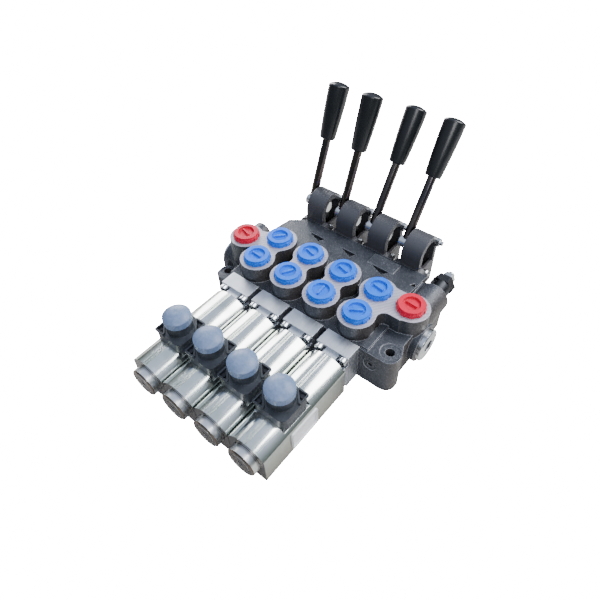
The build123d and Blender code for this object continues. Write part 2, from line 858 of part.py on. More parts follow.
# Soft dust cap: a skirt over the tower and a low dome
with BuildPart() as soft_cap:
    with BuildSketch(across(connector_y)):
        with BuildLine():
            Polyline((0, dust_cap_top_z - dust_cap_roof), (0, dust_cap_top_z))
            ThreePointArc((0, dust_cap_top_z), (0.55 * dust_cap_r, dust_cap_top_z - 0.8),
                          (dust_cap_r, dust_cap_edge_z))
            Polyline((dust_cap_r, dust_cap_edge_z), (dust_cap_r, dust_cap_skirt_z),
                     (dust_cap_r - dust_cap_wall, dust_cap_skirt_z),
                     (dust_cap_r - dust_cap_wall, tower_top_z), (tower_mouth_r, tower_top_z),
                     (tower_mouth_r, dust_cap_edge_z), (0, dust_cap_top_z - dust_cap_roof))
        make_face()
    revolve(axis=Axis((0, connector_y, 0), (0, 0, 1)))

for number, x in enumerate(section_x, start=1):
    with BuildPart() as dust_cap:
        with Locations((x, 0, 0)):
            add(soft_cap.part)
    dust_cap.part.label = f"dust_cap_{number}"
    export_step(dust_cap.part, f"parts/dust_cap_{number}.step")

# Small screws in the connectors' corner pockets
pocket_floor_z = connector_top_z + corner_rim - corner_pocket_depth
with BuildPart() as corner_screws:
    with BuildSketch(Plane.XY.offset(pocket_floor_z)):
        with Locations(connector_screw_spots):
            Circle(connector_head_r)
    extrude(amount=connector_head)
    with BuildSketch(Plane.XY.offset(pocket_floor_z)):
        with Locations(connector_screw_spots):
            Circle(connector_screw_r)
    extrude(amount=-(pocket_floor_z - connector_seat_z + connector_screw_grip))

with BuildPart() as connector_screws:
    with Locations([(x, 0, 0) for x in section_x]):
        add(corner_screws.part)
connector_screws.part.label = "connector_screws"
export_step(connector_screws.part, "parts/connector_screws.step")

# Plunger that the windings pull either way; it screws on to the spool's stem
plunger_back = (housing_back + housing_front + plunger_length) / 2
with BuildPart() as iron:
    with BuildSketch(across(plunger_back)):
        with Locations((0, spool_z)):
            Circle(plunger_r)
    extrude(amount=plunger_length)

for number, x in enumerate(section_x, start=1):
    with BuildPart() as plunger:
        with Locations((x, 0, 0)):
            add(iron.part)
    plunger.part.label = f"plunger_{number}"
    export_step(plunger.part, f"parts/plunger_{number}.step")

# Centring spring round the stem, inside the mounting block
spring_length = block_depth - 2 * spring_seat_gap - 2 * spring_wire_r
spring_start = block_front + spring_seat_gap + spring_wire_r
with BuildPart() as coil:
    with BuildLine() as coil_path:
        Helix(spring_length / spring_turns, spring_length, spring_r,
              center=(0, spring_start, spool_z), direction=(0, 1, 0))
    with BuildSketch(Plane(coil_path.line @ 0, z_dir=coil_path.line % 0)):
        Circle(spring_wire_r)
    sweep(path=coil_path.line, is_frenet=True)

with BuildPart() as centring_springs:
    with Locations([(x, 0, 0) for x in section_x]):
        add(coil.part)
centring_springs.part.label = "centring_springs"
export_step(centring_springs.part, "parts/centring_springs.step")

# Spool: stem at the front, three metering grooves, and a slotted tail for the lever
spool_head_y = front_y + spool_stroke + spool_shoulder_gap
slot_width = 2 * (ball_r + slot_gap)
tail_end = pivot_y + slot_width / 2 + tail_wall
tail_start = rear_y - spool_stroke - spool_shoulder_gap
with BuildPart() as slide:
    with BuildSketch(across(tail_end)):
        with Locations((0, spool_z)):
            Circle(tail_r)
    extrude(amount=tail_end - tail_start)
    with BuildSketch(across(tail_start)):
        with Locations((0, spool_z)):
            Circle(spool_d / 2)
    extrude(amount=tail_start - spool_head_y)
    with BuildSketch(across(spool_head_y)):
        with Locations((0, spool_z)):
            Circle(stem_r)
    extrude(amount=spool_head_y - plunger_back)
    for groove_y in (port_rows[0], 0, port_rows[1]):
        with BuildSketch(across(groove_y + spool_groove / 2)):
            with Locations((0, spool_z)):
                Circle(spool_d)
                Circle(spool_groove_r, mode=Mode.SUBTRACT)
        extrude(amount=spool_groove, mode=Mode.SUBTRACT)
    with BuildSketch(Plane.XY.offset(spool_z - tail_floor)):
        with Locations((0, pivot_y)):
            Rectangle(3 * tail_r, slot_width)
    extrude(amount=2 * tail_r, mode=Mode.SUBTRACT)

for number, x in enumerate(section_x, start=1):
    with BuildPart() as spool:
        with Locations((x, 0, 0)):
            add(slide.part)
    spool.part.label = f"spool_{number}"
    export_step(spool.part, f"parts/spool_{number}.step")

# Lever bracket: a bolted flange, a tail housing and an open drum round the lever shaft
with BuildPart() as mount:
    with BuildSketch(across(rear_y)):
        with Locations((0, (flange_low + flange_high) / 2)):
            RectangleRounded(flange_width, flange_high - flange_low, flange_round)
    extrude(amount=-flange_thick)
    with BuildSketch(along(-bracket_width / 2)):
        with BuildLine():
            Polyline((pivot_y - drum_r, pivot_z), (pivot_y - drum_r, bracket_low),
                     (pivot_y + drum_r, bracket_low), (pivot_y + drum_r, pivot_z))
            ThreePointArc((pivot_y + drum_r, pivot_z), (pivot_y, pivot_z + drum_r),
                          (pivot_y - drum_r, pivot_z))
        make_face()
    extrude(amount=bracket_width)
    with BuildSketch(along(-bracket_width / 2 + bracket_wall)):
        with BuildLine():
            Polyline((pivot_y - drum_r + drum_wall, pivot_z), (pivot_y - drum_r + drum_wall, window_z),
                     (pivot_y + drum_r - drum_wall, window_z), (pivot_y + drum_r - drum_wall, pivot_z))
            ThreePointArc((pivot_y + drum_r - drum_wall, pivot_z), (pivot_y, pivot_z + drum_r - drum_wall),
                          (pivot_y - drum_r + drum_wall, pivot_z))
        make_face()
    extrude(amount=bracket_width, mode=Mode.SUBTRACT)
    with BuildSketch(along(-bracket_width / 2 + tail_side_wall)):
        with BuildLine():
            Polyline((rear_y + flange_thick, window_z + 1), (rear_y + flange_thick, tail_low),
                     (tail_room, tail_low), (tail_room, window_z - tail_room + pivot_y + drum_r - drum_wall),
                     (pivot_y + drum_r - drum_wall, window_z), (pivot_y + drum_r - drum_wall, window_z + 1),
                     close=True)
        make_face()
    extrude(amount=bracket_width - 2 * tail_side_wall, mode=Mode.SUBTRACT)
    with BuildSketch(across(rear_y)):
        with Locations((0, spool_z)):
            Circle(tail_r + tail_fit)
    extrude(amount=-flange_thick, mode=Mode.SUBTRACT)
    with BuildSketch(across(rear_y)):
        with Locations((0, spool_z)):
            Circle(seal_outer_r)
    extrude(amount=-seal_width, mode=Mode.SUBTRACT)
    with BuildSketch(along(-bracket_width / 2)):
        with Locations((pivot_y, pivot_z)):
            Circle(shaft_r + shaft_fit)
    extrude(amount=bracket_wall, mode=Mode.SUBTRACT)
    with BuildSketch(across(rear_y)):
        with Locations([(a * bracket_screw_x, spool_z + a * bracket_screw_z) for a in (-1, 1)]):
            Circle(screw_r + screw_hole_fit)
    extrude(amount=-flange_thick, mode=Mode.SUBTRACT)
    with BuildSketch(along(bracket_width / 2)):
        with Locations((lock_screw_y, lock_screw_z)):
            Circle(lock_screw_r + screw_hole_fit)
    extrude(amount=-(lock_screw_grip + 1), mode=Mode.SUBTRACT)

for number, x in enumerate(section_x, start=1):
    with BuildPart() as lever_bracket:
        with Locations((x, 0, 0)):
            add(mount.part)
    lever_bracket.part.label = f"lever_bracket_{number}"
    export_step(lever_bracket.part, f"parts/lever_bracket_{number}.step")

# Flange screws, with their heads to the rear
with BuildPart() as flange_screw:
    with BuildSketch(across(rear_y + flange_thick + bracket_head)):
        Circle(bracket_head_r)
    extrude(amount=bracket_head)
    chamfer(flange_screw.edges().filter_by(GeomType.CIRCLE).group_by(Axis.Y)[-1], screw_bevel)
    with BuildSketch(across(rear_y + flange_thick + bracket_head)):
        RegularPolygon(screw_socket / 2, 6, major_radius=False)
    extrude(amount=screw_socket_depth, mode=Mode.SUBTRACT)
    with BuildSketch(across(rear_y + flange_thick)):
        Circle(screw_r)
    extrude(amount=flange_thick + screw_grip)

with BuildPart() as bracket_screws:
    with Locations([(x + a * bracket_screw_x, 0, spool_z + a * bracket_screw_z)
                    for x in section_x for a in (-1, 1)]):
        add(flange_screw.part)
bracket_screws.part.label = "bracket_screws"
export_step(bracket_screws.part, "parts/bracket_screws.step")

# Locking screw with its nut, in the open side of each drum
with BuildPart() as lock_screw:
    with BuildSketch(along(bracket_width / 2)):
        with Locations((lock_screw_y, lock_screw_z)):
            RegularPolygon(lock_screw_hex / 2, 6, major_radius=False)
    extrude(amount=lock_screw_head)
    with BuildSketch(along(bracket_width / 2 - lock_screw_grip)):
        with Locations((lock_screw_y, lock_screw_z)):
            Circle(lock_screw_r)
    extrude(amount=lock_screw_grip + lock_screw_head + lock_screw_tip)

with BuildPart() as locking_screws:
    with Locations([(x, 0, 0) for x in section_x]):
        add(lock_screw.part)
locking_screws.part.label = "locking_screws"
export_step(locking_screws.part, "parts/locking_screws.step")

# Scraper rings
with BuildPart() as scraper:
    with BuildSketch(across(rear_y)):
        with Locations((0, spool_z)):
            Circle(seal_outer_r)
            Circle(tail_r + seal_fit, mode=Mode.SUBTRACT)
    extrude(amount=-seal_width)

with BuildPart() as spool_seals:
    with Locations([(x, 0, 0) for x in section_x]):
        add(scraper.part)
spool_seals.part.label = "spool_seals"
export_step(spool_seals.part, "parts/spool_seals.step")

# Each lever leans back by its own angle, so the rod's place in its shaft differs
def rod_plane(lean, reach):
    """Plane across a rod that leans back by an angle, at a distance from the shaft's axis."""
    direction = Vector(0, sin(radians(lean)), cos(radians(lean)))
    return Plane(origin=Vector(rod_x, pivot_y, pivot_z) + direction * reach, x_dir=(1, 0, 0), z_dir=direction)


# Moulded grip, drawn upright from its lower end
with BuildPart() as grip:
    with BuildSketch(Plane.XZ):
        with BuildLine():
            Polyline((0, knob_length), (0, 0), (knob_low_r - knob_edge, 0), (knob_low_r, knob_edge))
            ThreePointArc((knob_low_r, knob_edge),
                          ((knob_low_r + knob_high_r) / 2 + knob_belly, knob_length / 2),
                          (knob_high_r, knob_length - knob_crown))
            ThreePointArc((knob_high_r, knob_length - knob_crown),
                          (crown_r * sin(crown_angle / 2),
                           knob_length - crown_r * (1 - cos(crown_angle / 2))),
                          (0, knob_length))
        make_face()
        fillet(vertices().group_by(Axis.X)[-1], knob_round)
    revolve(axis=Axis.Z)
    with BuildSketch():
        Circle(rod_r + knob_fit)
    extrude(amount=knob_grip, mode=Mode.SUBTRACT)

# Arm on the shaft, with a round end in the spool's slot
with BuildPart() as finger:
    with BuildSketch(along(-arm_thick / 2)):
        with Locations((pivot_y, pivot_z)):
            Circle(hub_r)
        with Locations((pivot_y, (pivot_z + spool_z) / 2)):
            Rectangle(arm_width, arm_length)
    extrude(amount=arm_thick)
    with BuildSketch(along(-arm_thick / 2)):
        with Locations((pivot_y, spool_z)):
            Circle(ball_r)
    extrude(amount=arm_thick)
    with BuildSketch(along(-arm_thick / 2)):
        with Locations((pivot_y, pivot_z)):
            Circle(shaft_r + arm_fit)
    extrude(amount=arm_thick, mode=Mode.SUBTRACT)

for number, (x, lean) in enumerate(zip(section_x, lever_leans), start=1):
    # Lever shaft, with a hole through its outer end for the rod
    with BuildPart() as stub:
        with BuildSketch(along(rod_x - shaft_end)):
            with Locations((pivot_y, pivot_z)):
                Circle(shaft_r)
        extrude(amount=shaft_end - rod_x + arm_thick / 2 + shaft_inner)
        chamfer(stub.edges().filter_by(GeomType.CIRCLE).group_by(Axis.X)[0], shaft_bevel)
        with BuildSketch(rod_plane(lean, -rod_seat)):
            Circle(rod_r + rod_fit)
        extrude(amount=2 * shaft_r, mode=Mode.SUBTRACT)

    # Chromed rod
    with BuildPart() as bar:
        with BuildSketch(rod_plane(lean, -rod_seat)):
            Circle(rod_r)
        extrude(amount=rod_seat + knob_start + knob_grip)

    lever_pieces = {"lever_shaft": stub.part, "lever_arm": finger.part, "lever_rod": bar.part,
                    "lever_knob": rod_plane(lean, knob_start) * grip.part}
    for name, shape in lever_pieces.items():
        with BuildPart() as lever_piece:
            with Locations((x, 0, 0)):
                add(shape)
        lever_piece.part.label = f"{name}_{number}"
        export_step(lever_piece.part, f"parts/{name}_{number}.step")
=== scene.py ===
# %% [markdown]
# # A four-spool hydraulic valve with solenoids and hand levers
# The solids come from the CAD model and stand still here. This lesson gives each of them the
# finish of the real thing, adds a blank label that an assembler leaves behind, and then sets up
# a camera, a pale floor and soft light.

import json
from math import cos, pi, radians, sin

import bpy
from mathutils import Matrix, Vector


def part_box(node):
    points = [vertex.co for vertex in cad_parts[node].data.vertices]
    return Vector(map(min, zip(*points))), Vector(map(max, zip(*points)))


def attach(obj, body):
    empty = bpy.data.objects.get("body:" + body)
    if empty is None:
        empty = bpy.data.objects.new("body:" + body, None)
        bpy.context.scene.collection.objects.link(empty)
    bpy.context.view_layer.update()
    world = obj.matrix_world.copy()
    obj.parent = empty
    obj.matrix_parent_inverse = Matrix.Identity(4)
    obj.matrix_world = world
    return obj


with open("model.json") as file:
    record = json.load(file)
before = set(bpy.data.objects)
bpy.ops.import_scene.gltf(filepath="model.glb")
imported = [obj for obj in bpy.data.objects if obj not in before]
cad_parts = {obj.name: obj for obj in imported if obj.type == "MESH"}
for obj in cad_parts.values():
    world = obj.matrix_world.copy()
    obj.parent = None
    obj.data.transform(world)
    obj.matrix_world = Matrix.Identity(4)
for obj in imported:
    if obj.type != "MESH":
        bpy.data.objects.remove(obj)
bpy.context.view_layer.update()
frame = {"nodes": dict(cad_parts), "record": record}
bpy.ops.object.select_all(action="DESELECT")
nodes = frame["nodes"]

# %% [markdown]
# ## Sizes read from the frame
# Every added piece sits on a solid, so its place is worked out from that solid's box. A section
# of the valve is one spool with its solenoid in front and its lever behind.

# %% Places taken from the solids
MM = 0.001
section_numbers = range(1, 5)


def middle(name):
    """Centre of a solid's box."""
    low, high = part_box(name)
    return (low + high) / 2


section_x = [middle(f"spool_{number}").x for number in section_numbers]
body_low, body_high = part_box("valve_body")
plug_low, plug_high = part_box("work_port_plugs")
land_z = body_high.z
spool_z = middle("spool_1").z
print("section pitch in mm:", round((section_x[1] - section_x[0]) / MM, 2))

# %% [markdown]
# ## Colours and nodes
# Colours are written as they look on a screen, in sRGB hex, and Blender mixes light in linear
# values, so one function turns the first into the second. A second function adds one shader
# node with its settings and links, which keeps each material short enough to read as a recipe.


# %% Two helpers for materials
def linear(hex_colour):
    """Linear RGBA of an sRGB colour such as #30343A."""
    channels = [int(hex_colour[start:start + 2], 16) / 255 for start in (1, 3, 5)]
    return tuple(c / 12.92 if c <= 0.04045 else ((c + 0.055) / 1.055) ** 2.4 for c in channels) + (1.0,)


def add_node(material, kind, inputs=None, **settings):
    """Adds one shader node; an input is a value, or an output socket to link from."""
    made = material.node_tree.nodes.new("ShaderNode" + kind)
    for name, value in settings.items():
        setattr(made, name, value)
    for name, value in (inputs or {}).items():
        if isinstance(value, bpy.types.NodeSocket):
            material.node_tree.links.new(value, made.inputs[name])
        else:
            made.inputs[name].default_value = value
    return made


def start_material(name, **shader_values):
    """A new material with one Principled shader, whose plain values are set on its own sockets."""
    material = bpy.data.materials.new(name)
    material.use_nodes = True
    shader = material.node_tree.nodes["Principled BSDF"]
    for socket, value in shader_values.items():
        shader.inputs[socket.replace("_", " ")].default_value = value
    return material, shader.inputs


def feed(material, socket, output):
    """Links an output to a socket of the material's shader."""
    material.node_tree.links.new(output, socket)


# %% [markdown]
# ## Where an edge catches the light
# The edges of the casting are painted lighter: a painted highlight where their slight rounding
# catches the light, partly also coat rubbed off by handling. The Bevel node gives the direction
# that the surface would have if its edges were rounded.
# Far from an edge it agrees with the true direction, and near one it turns away, so the
# difference between the two is a mask of the edges, and it needs no painting.


# %% Edge mask
def edge_mask(material, radius, start, end):
    """Value that is 0 on flats and 1 on edges, with the width of the rounded edge in metres."""
    rounded = add_node(material, "Bevel", {"Radius": radius}, samples=6)
    true_normal = add_node(material, "NewGeometry").outputs["True Normal"]
    agreement = add_node(material, "VectorMath", {0: rounded.outputs[0], 1: true_normal}, operation="DOT_PRODUCT")
    mask = add_node(material, "MapRange", {"Value": agreement.outputs["Value"], "From Min": start, "From Max": end,
                                           "To Min": 0.0, "To Max": 1.0})
    return mask.outputs[0]


# %% [markdown]
# ## Sand-cast iron
# The body is grey iron poured in a sand mould, then dipped in a dark protective coat. The sand
# leaves grains that are drawn here 1.6 mm across, coarser than real ones so that they show, and
# the coat pools, so the colour drifts over some centimetres. The side that looks to the right is
# painted browner, a painted reflection of the shaded floor beside it, and fine bright specks are
# painted glints. The port faces were milled after coating: there the metal is bare, pale and
# finely scored. They are found by height and by the direction of the surface.

# %% Cast iron with milled port faces
GRAIN = 1.6 * MM
SPECK = 0.6 * MM
CLOUD = 16 * MM
SCORE = 0.5 * MM


def cast_iron():
    """Dark coated casting, bare and milled where it faces up at the height of the ports."""
    material, shader = start_material("sand_cast_iron", Metallic=0.35)
    place = add_node(material, "TexCoord").outputs["Object"]
    facing = add_node(material, "NewGeometry").outputs["True Normal"]
    height = add_node(material, "SeparateXYZ", {"Vector": place}).outputs["Z"]
    direction = add_node(material, "SeparateXYZ", {"Vector": facing})
    high = add_node(material, "Math", {0: height, 1: land_z - 0.1 * MM}, operation="GREATER_THAN")
    flat = add_node(material, "Math", {0: direction.outputs["Z"], 1: 0.9}, operation="GREATER_THAN")
    milled = add_node(material, "Math", {0: high.outputs[0], 1: flat.outputs[0]}, operation="MULTIPLY")
    cloud = add_node(material, "TexNoise", {"Vector": place, "Scale": 1 / CLOUD, "Detail": 3.0})
    grain = add_node(material, "TexNoise", {"Vector": place, "Scale": 1 / GRAIN, "Detail": 4.0})
    speck = add_node(material, "TexNoise", {"Vector": place, "Scale": 1 / SPECK, "Detail": 1.0})
    skin = add_node(material, "Mix", {0: cloud.outputs["Fac"], 6: linear("#2A2D33"), 7: linear("#40444C")},
                    data_type="RGBA")
    # The side that looks to the right is painted browner: a painted reflection of the shaded floor beside it.
    right_side_painted_reflection = add_node(material, "MapRange", {"Value": direction.outputs["X"], "From Min": 0.3, "From Max": 0.9,
                                            "To Min": 0.0, "To Max": 0.75})
    painted_side_tone = add_node(material, "Mix", {0: right_side_painted_reflection.outputs[0], 6: skin.outputs[2], 7: linear("#463F3B")},
                     data_type="RGBA")
    # Fine bright specks are painted glints, and the edges are painted lighter: a painted highlight, partly also
    # rubbed wear.
    painted_glint = add_node(material, "MapRange", {"Value": speck.outputs["Fac"], "From Min": 0.62, "From Max": 0.72,
                                              "To Min": 0.0, "To Max": 0.55})
    worn_and_highlit_edge = add_node(material, "Math", {0: edge_mask(material, 0.9 * MM, 0.985, 0.9), 1: 0.75}, operation="MULTIPLY")
    bright = add_node(material, "Math", {0: painted_glint.outputs[0], 1: worn_and_highlit_edge.outputs[0]}, operation="MAXIMUM")
    coat = add_node(material, "Mix", {0: bright.outputs[0], 6: painted_side_tone.outputs[2], 7: linear("#9A9DA4")},
                    data_type="RGBA")
    turned = add_node(material, "Mapping", {"Vector": place, "Rotation": (0.0, 0.0, radians(35))})
    scored = add_node(material, "TexWave", {"Vector": turned.outputs[0], "Scale": 1 / SCORE / 20,
                                            "Distortion": 3.0, "Detail": 2.0})
    bare = add_node(material, "Mix", {0: scored.outputs["Fac"], 6: linear("#9E9CA8"), 7: linear("#AEABB6")},
                    data_type="RGBA")
    colour = add_node(material, "Mix", {0: milled.outputs[0], 6: coat.outputs[2], 7: bare.outputs[2]},
                      data_type="RGBA")
    rough = add_node(material, "MapRange", {"Value": cloud.outputs["Fac"], "From Min": 0.3, "From Max": 0.7,
                                            "To Min": 0.32, "To Max": 0.5})
    relief = add_node(material, "Mix", {0: milled.outputs[0], 2: grain.outputs["Fac"], 3: 0.5})
    soft_edge = add_node(material, "Bevel", {"Radius": 1.2 * MM}, samples=6)
    bump = add_node(material, "Bump", {"Strength": 0.5, "Distance": 0.5 * MM, "Height": relief.outputs[0],
                                       "Normal": soft_edge.outputs[0]})
    feed(material, shader["Base Color"], colour.outputs[2])
    feed(material, shader["Roughness"], rough.outputs[0])
    feed(material, shader["Normal"], bump.outputs[0])
    return material


# %% [markdown]
# ## Bright zinc plate
# The solenoid housings, their mounting blocks and the fasteners are steel with a bright zinc
# plate. It is close to a mirror, a little warm or green where the clear passivation is thicker,
# and drawn steel under it leaves faint lines along its length. The lines run along Y, so the
# noise that makes them is stretched forty times that way.

# %% Zinc-plated steel
DRAWN_LINE = 0.8 * MM
STAIN = 22 * MM


def zinc_plate(name, pale, deep, smooth, dull, line_bump):
    """Plated steel with drawn lines along Y; smooth and dull bound its roughness."""
    material, shader = start_material(name, Metallic=1.0)
    place = add_node(material, "TexCoord").outputs["Object"]
    stretched = add_node(material, "Mapping", {"Vector": place, "Scale": (1.0, 1 / 40, 1.0)})
    lines = add_node(material, "TexNoise", {"Vector": stretched.outputs[0], "Scale": 1 / DRAWN_LINE,
                                            "Detail": 3.0})
    stain = add_node(material, "TexNoise", {"Vector": place, "Scale": 1 / STAIN, "Detail": 2.0})
    drift = add_node(material, "MapRange", {"Value": stain.outputs["Fac"], "From Min": 0.3, "From Max": 0.7})
    colour = add_node(material, "Mix", {0: drift.outputs[0], 6: linear(pale), 7: linear(deep)},
                      data_type="RGBA")
    rough = add_node(material, "MapRange", {"Value": lines.outputs["Fac"], "From Min": 0.3, "From Max": 0.7,
                                            "To Min": smooth, "To Max": dull})
    soft_edge = add_node(material, "Bevel", {"Radius": 0.5 * MM}, samples=4)
    bump = add_node(material, "Bump", {"Strength": line_bump, "Distance": 0.05 * MM,
                                       "Height": lines.outputs["Fac"], "Normal": soft_edge.outputs[0]})
    feed(material, shader["Base Color"], colour.outputs[2])
    feed(material, shader["Roughness"], rough.outputs[0])
    feed(material, shader["Normal"], bump.outputs[0])
    return material


# %% [markdown]
# ## Housings with painted dark ends
# The solenoid housings use the same zinc recipe. Their ends are painted a dark bronze, a painted
# reflection of the shadowed floor in front, and their flanks are painted greener at the top and
# browner low down, a painted reflection of the floor and its shade. These further colours go
# wherever the surface looks to a side, the front or the back.

# %% Solenoid housing and its end face
def housing_steel():
    """Mirror-like plate on the long sides, with painted reflection on the flanks and a dark bronze painted
    reflection on the ends.
    """
    material = zinc_plate("zinc_housing_tube", "#ECEEEA", "#CDD5CB", 0.10, 0.20, 0.12)
    shader = material.node_tree.nodes["Principled BSDF"].inputs
    plated = shader["Base Color"].links[0].from_socket
    facing = add_node(material, "NewGeometry").outputs["True Normal"]
    direction = add_node(material, "SeparateXYZ", {"Vector": facing})
    place = add_node(material, "TexCoord").outputs["Object"]
    height = add_node(material, "SeparateXYZ", {"Vector": place}).outputs["Z"]
    # The flanks are painted greener at the top and darker and browner low down: a painted reflection of the floor
    # and its shade.
    sideways = add_node(material, "Math", {0: direction.outputs["X"]}, operation="ABSOLUTE")
    flank = add_node(material, "MapRange", {"Value": sideways.outputs[0], "From Min": 0.55, "From Max": 0.95})
    shade = add_node(material, "MapRange", {"Value": height, "From Min": 2 * MM, "From Max": 34 * MM})
    painted_shade_tone = add_node(material, "Mix", {0: shade.outputs[0], 6: linear("#7C786C"), 7: linear("#B4BAB2")},
                    data_type="RGBA")
    painted_side_tone = add_node(material, "Mix", {0: flank.outputs[0], 6: plated, 7: painted_shade_tone.outputs[2]}, data_type="RGBA")
    # Faces that look to the front or back are painted dark bronze: a painted reflection of the shadowed floor.
    amount = add_node(material, "Math", {0: direction.outputs["Y"]}, operation="ABSOLUTE")
    painted_dark_end = add_node(material, "Math", {0: amount.outputs[0], 1: 0.8}, operation="GREATER_THAN")
    colour = add_node(material, "Mix", {0: painted_dark_end.outputs[0], 6: painted_side_tone.outputs[2], 7: linear("#3A332E")},
                      data_type="RGBA")
    feed(material, shader["Base Color"], colour.outputs[2])
    return material


# %% [markdown]
# ## Turned end caps
# The caps on the ends of the core tubes are turned on a lathe. Turning leaves rings round the
# axis, so the rings are drawn from the distance to the nearest spool axis: the place across the
# row is folded back into one section first, and one recipe then serves all of them.

# %% Turned steel cap
TURNED_RING = 0.6 * MM


def turned_steel():
    """Bright rim and a front face painted dark as a painted reflection, with fine lathe rings round each spool's
    axis.
    """
    material, shader = start_material("turned_steel_cap", Metallic=1.0)
    place = add_node(material, "TexCoord").outputs["Object"]
    split = add_node(material, "SeparateXYZ", {"Vector": place})
    pitch = section_x[1] - section_x[0]
    shifted = add_node(material, "Math", {0: split.outputs["X"], 1: -section_x[0] + pitch / 2}, operation="ADD")
    folded = add_node(material, "Math", {0: shifted.outputs[0], 1: pitch}, operation="FLOORED_MODULO")
    across = add_node(material, "Math", {0: folded.outputs[0], 1: pitch / 2}, operation="SUBTRACT")
    up = add_node(material, "Math", {0: split.outputs["Z"], 1: spool_z}, operation="SUBTRACT")
    flat_place = add_node(material, "CombineXYZ", {"X": across.outputs[0], "Y": up.outputs[0]})
    rings = add_node(material, "TexWave", {"Vector": flat_place.outputs[0], "Scale": 1 / TURNED_RING / 20},
                     wave_type="RINGS", rings_direction="Z")
    facing = add_node(material, "NewGeometry").outputs["True Normal"]
    forward = add_node(material, "SeparateXYZ", {"Vector": facing}).outputs["Y"]
    # The front face is painted dark bronze: a painted reflection of the shadowed floor; the lathe rings on it are
    # real.
    face = add_node(material, "Math", {0: forward, 1: -0.5}, operation="LESS_THAN")
    painted_shade_tone = add_node(material, "Mix", {0: rings.outputs["Fac"], 6: linear("#54493F"), 7: linear("#6E6055")},
                    data_type="RGBA")
    colour = add_node(material, "Mix", {0: face.outputs[0], 6: linear("#DCDDDB"), 7: painted_shade_tone.outputs[2]},
                      data_type="RGBA")
    soft_edge = add_node(material, "Bevel", {"Radius": 0.4 * MM}, samples=4)
    bump = add_node(material, "Bump", {"Strength": 0.3, "Distance": 0.05 * MM, "Height": rings.outputs["Fac"],
                                       "Normal": soft_edge.outputs[0]})
    shader["Roughness"].default_value = 0.28
    feed(material, shader["Base Color"], colour.outputs[2])
    feed(material, shader["Normal"], bump.outputs[0])
    return material


# %% [markdown]
# ## Moulded plastics
# The port plugs are soft polyethylene, which glows a little because light enters it. The
# connectors are glass-filled nylon, grey-black and slightly rough, and their dust caps are a
# softer, paler grey with flow marks from the mould. All share one recipe: a drift of colour, a
# fine grain in the surface, and a rounded edge.

# %% Moulded plastic
def moulded(name, pale, deep, roughness, mark, grain, grain_bump, **shader_values):
    """Plastic with colour drift of size mark and surface grain of size grain, both in metres."""
    material, shader = start_material(name, Roughness=roughness, IOR=1.5, **shader_values)
    place = add_node(material, "TexCoord").outputs["Object"]
    flow = add_node(material, "TexNoise", {"Vector": place, "Scale": 1 / mark, "Detail": 4.0,
                                           "Distortion": 0.6})
    drift = add_node(material, "MapRange", {"Value": flow.outputs["Fac"], "From Min": 0.3, "From Max": 0.7})
    colour = add_node(material, "Mix", {0: drift.outputs[0], 6: linear(pale), 7: linear(deep)},
                      data_type="RGBA")
    fine = add_node(material, "TexNoise", {"Vector": place, "Scale": 1 / grain, "Detail": 2.0})
    soft_edge = add_node(material, "Bevel", {"Radius": 0.5 * MM}, samples=4)
    bump = add_node(material, "Bump", {"Strength": grain_bump, "Distance": 0.1 * MM,
                                       "Height": fine.outputs["Fac"], "Normal": soft_edge.outputs[0]})
    feed(material, shader["Base Color"], colour.outputs[2])
    feed(material, shader["Normal"], bump.outputs[0])
    return material


# %% [markdown]
# ## Brackets, rods and grips
# The lever brackets carry a satin black coat that is browner towards the bottom. The rods are
# hard chrome over ground steel, painted dark brown and blue-grey as a painted reflection of dark
# surroundings, and the grips are glossy black phenolic.

# %% Coated bracket
def bracket_coat():
    """Satin dark coat, browner towards the bottom, with a faint orange-peel surface."""
    material, shader = start_material("satin_bracket_coat", Metallic=0.35)
    place = add_node(material, "TexCoord").outputs["Object"]
    height = add_node(material, "SeparateXYZ", {"Vector": place}).outputs["Z"]
    low_down = add_node(material, "MapRange", {"Value": height, "From Min": 10 * MM, "From Max": 60 * MM,
                                               "To Min": 1.0, "To Max": 0.0})
    cloud = add_node(material, "TexNoise", {"Vector": place, "Scale": 1 / (9 * MM), "Detail": 3.0})
    mixed = add_node(material, "Math", {0: low_down.outputs[0], 1: cloud.outputs["Fac"]}, operation="MULTIPLY")
    colour = add_node(material, "Mix", {0: mixed.outputs[0], 6: linear("#46474C"), 7: linear("#3F3531")},
                      data_type="RGBA")
    peel = add_node(material, "TexNoise", {"Vector": place, "Scale": 1 / (0.8 * MM), "Detail": 2.0})
    rough = add_node(material, "MapRange", {"Value": cloud.outputs["Fac"], "To Min": 0.36, "To Max": 0.5})
    soft_edge = add_node(material, "Bevel", {"Radius": 0.8 * MM}, samples=4)
    bump = add_node(material, "Bump", {"Strength": 0.2, "Distance": 0.1 * MM, "Height": peel.outputs["Fac"],
                                       "Normal": soft_edge.outputs[0]})
    feed(material, shader["Base Color"], colour.outputs[2])
    feed(material, shader["Roughness"], rough.outputs[0])
    feed(material, shader["Normal"], bump.outputs[0])
    return material


# %% [markdown]
# ## Ground, blackened and wound parts
# The parts inside, seen through the open drums or not at all, still get their own finish:
# ground steel, oil-blackened steel on the large plugs and the relief valve, enamelled copper on
# the windings, and rubber on the scraper rings.

